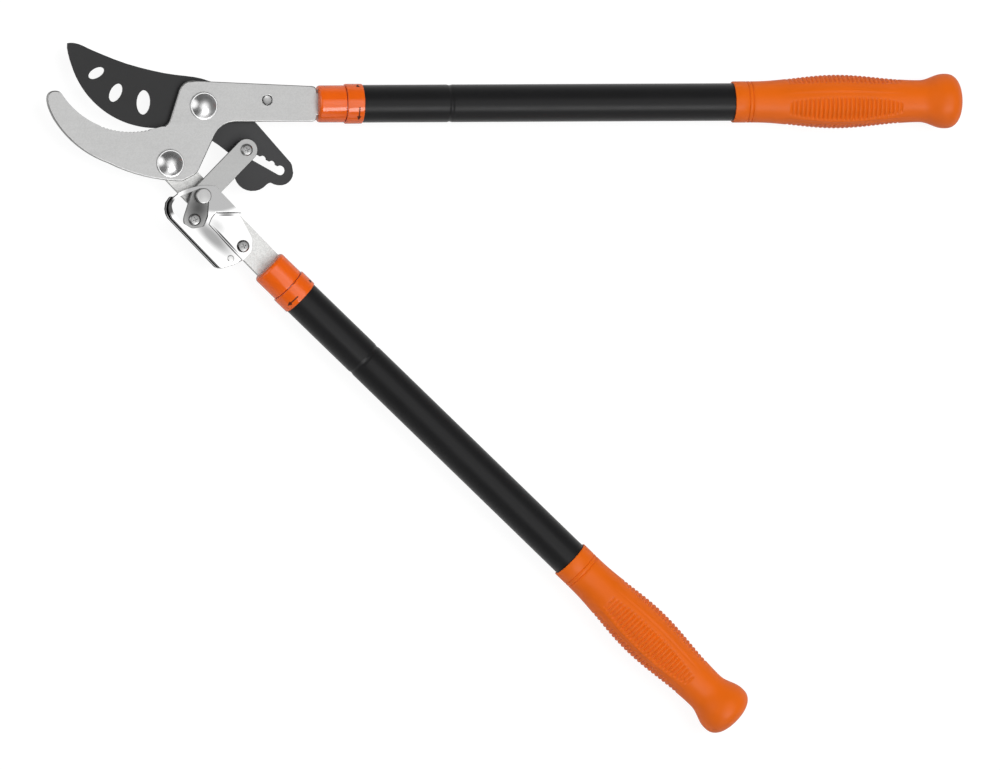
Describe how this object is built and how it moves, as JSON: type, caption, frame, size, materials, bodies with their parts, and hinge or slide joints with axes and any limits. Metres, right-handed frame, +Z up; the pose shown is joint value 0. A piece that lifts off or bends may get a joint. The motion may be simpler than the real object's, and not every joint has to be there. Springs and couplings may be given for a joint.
{
  "type": "telescopic lopper",
  "caption": "Two-handed bypass lopper with a ratchet link, a toothed hook, a coated blade and telescopic handles with orange ribbed grips",
  "frame": {"origin": "centre of the bounding box on the ground that the lopper lies on", "axes": "+X along the upper handle away from the head, +Y across the handles from the lower to the upper, +Z up from the ground through the plates to the link's side"},
  "size_m": [0.7028, 0.5228, 0.0411],
  "materials": {
    "hook_plate": "fine satin",
    "lower_bar": "fine satin",
    "link": "smooth satin",
    "blade": "thin low-friction coat, satin",
    "guard": "polished plate",
    "fastener": "bright zinc",
    "spring": "drawn wire",
    "orange_gloss": "gloss",
    "orange_grip": "soft satin, ribbed",
    "black_tube": "black coat, satin",
    "bare_tube": "drawn, satin",
    "nylon": "moulded"
  },
  "bodies": {
    "head": {"hook_plate": "hook_plate", "blade_pivot_bolt": "fastener", "blade_pivot_washer": "fastener", "blade_pivot_nut": "fastener", "handle_pivot_bolt": "fastener", "handle_pivot_washer": "fastener", "handle_pivot_nut": "fastener", "blade_stop_pin": "fastener", "upper_cap": "orange_gloss", "upper_tang_plug": "nylon", "upper_cross_pin_near": "fastener", "upper_cross_pin_far": "fastener", "upper_inner_tube": "bare_tube", "upper_lock_plug": "nylon", "upper_lock_screw": "fastener"},
    "blade": {"blade": "blade"},
    "lower_handle": {"lower_bar": "lower_bar", "link_rivet": "fastener", "link_spacer": "fastener", "guard": "guard", "guard_screw": "fastener", "spring_post": "fastener", "tension_spring": "spring", "lower_cap": "orange_gloss", "lower_tang_plug": "nylon", "lower_cross_pin_near": "fastener", "lower_cross_pin_far": "fastener", "lower_inner_tube": "bare_tube", "lower_lock_plug": "nylon", "lower_lock_screw": "fastener"},
    "link": {"link": "link", "link_pin_screw": "fastener", "link_pin_collar": "fastener", "link_pin_nut": "fastener", "spring_screw": "fastener", "spring_nut": "fastener"},
    "upper_lock": {"upper_lock_collet": "nylon"},
    "upper_slider": {"upper_outer_tube": "black_tube", "upper_twist_ring": "orange_gloss", "upper_end_plug": "nylon", "upper_grip": "orange_grip"},
    "lower_lock": {"lower_lock_collet": "nylon"},
    "lower_slider": {"lower_outer_tube": "black_tube", "lower_twist_ring": "orange_gloss", "lower_end_plug": "nylon", "lower_grip": "orange_grip"}
  },
  "joints": [
    {"name": "handle_hinge", "type": "hinge", "parent": "head", "child": "lower_handle", "pos_m": [-0.25785, 0.17063, 0.02055], "axis": [0, 0, 1], "range_deg": [-5, 29.5]},
    {"name": "blade_hinge", "type": "hinge", "parent": "head", "child": "blade", "pos_m": [-0.23195, 0.21353, 0.02055], "axis": [0, 0, 1], "range_deg": [-3.7, 21.7]},
    {"name": "link_hinge", "type": "hinge", "parent": "lower_handle", "child": "link", "pos_m": [-0.23418, 0.14619, 0.02055], "axis": [0, 0, 1], "range_deg": [-30.7, 5.3], "deforming": ["tension_spring"]},
    {"name": "upper_lock_twist", "type": "hinge", "parent": "head", "child": "upper_lock", "pos_m": [-0.14465, 0.21473, 0.02055], "axis": [1, 0, 0], "range_deg": [0, 90]},
    {"name": "upper_slide", "type": "slide", "parent": "upper_lock", "child": "upper_slider", "axis": [1, 0, 0], "range_m": [0, 0.34]},
    {"name": "lower_lock_twist", "type": "hinge", "parent": "lower_handle", "child": "lower_lock", "pos_m": [-0.18275, 0.0935, 0.02055], "axis": [0.7206, -0.6934, 0], "range_deg": [0, 90]},
    {"name": "lower_slide", "type": "slide", "parent": "lower_lock", "child": "lower_slider", "axis": [0.7206, -0.6934, 0], "range_m": [0, 0.34]}
  ],
  "couplings": [
    {"joint": "blade_hinge", "follows": "handle_hinge", "ratio": 0.735},
    {"joint": "link_hinge", "follows": "handle_hinge", "ratio": -1.04}
  ]
}
